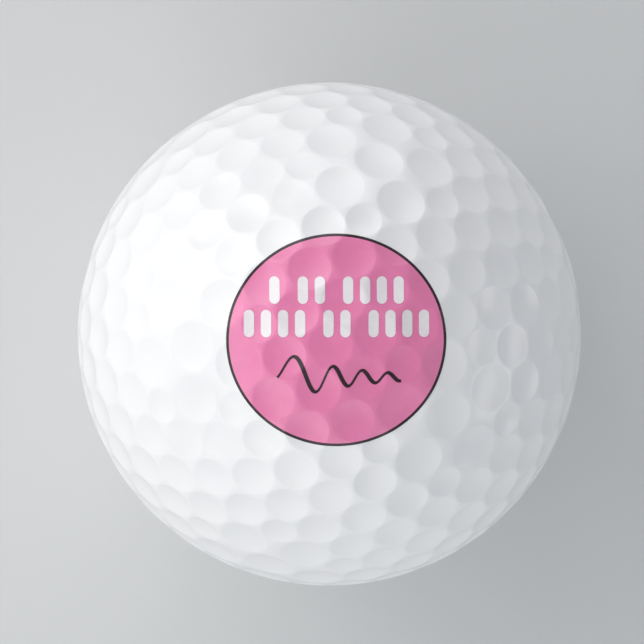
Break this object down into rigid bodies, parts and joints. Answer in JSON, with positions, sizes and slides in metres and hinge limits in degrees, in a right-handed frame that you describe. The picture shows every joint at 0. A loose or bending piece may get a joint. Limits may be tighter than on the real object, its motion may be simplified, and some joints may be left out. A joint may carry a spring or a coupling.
{
  "type": "golf ball",
  "caption": "Golf ball: dual rubber core, mantle and dimpled white cover, all in nested layers, with an oval pink label of plain marks printed on one face.",
  "frame": {"origin": "centre of the ball", "axes": "+Z out through the centre of the printed label, +Y up on the label, +X to the label's right; the cover halves meet on the XY plane"},
  "size_m": [0.0426, 0.0426, 0.0427],
  "materials": {
    "inner_core_rubber": "matt moulded rubber",
    "outer_core_rubber": "matt moulded rubber",
    "mantle_ionomer": "satin moulded ionomer",
    "cover_urethane": "white urethane under a clear gloss coat",
    "pink_ink": "pad-printed ink under the clear coat",
    "black_ink": "pad-printed ink under the clear coat",
    "white_ink": "pad-printed ink under the clear coat"
  },
  "bodies": {
    "root": {"inner_core": "inner_core_rubber", "outer_core_upper": "outer_core_rubber", "outer_core_lower": "outer_core_rubber", "mantle_right": "mantle_ionomer", "mantle_left": "mantle_ionomer", "cover_upper": "cover_urethane", "cover_lower": "cover_urethane", "print_disc": "pink_ink", "print_outline": "black_ink", "print_flourish": "black_ink", "print_bar_1_01": "white_ink", "print_bar_1_02": "white_ink", "print_bar_1_03": "white_ink", "print_bar_1_04": "white_ink", "print_bar_1_05": "white_ink", "print_bar_1_06": "white_ink", "print_bar_1_07": "white_ink", "print_bar_2_01": "white_ink", "print_bar_2_02": "white_ink", "print_bar_2_03": "white_ink", "print_bar_2_04": "white_ink", "print_bar_2_05": "white_ink", "print_bar_2_06": "white_ink", "print_bar_2_07": "white_ink", "print_bar_2_08": "white_ink", "print_bar_2_09": "white_ink", "print_bar_2_10": "white_ink"}
  },
  "joints": []
}
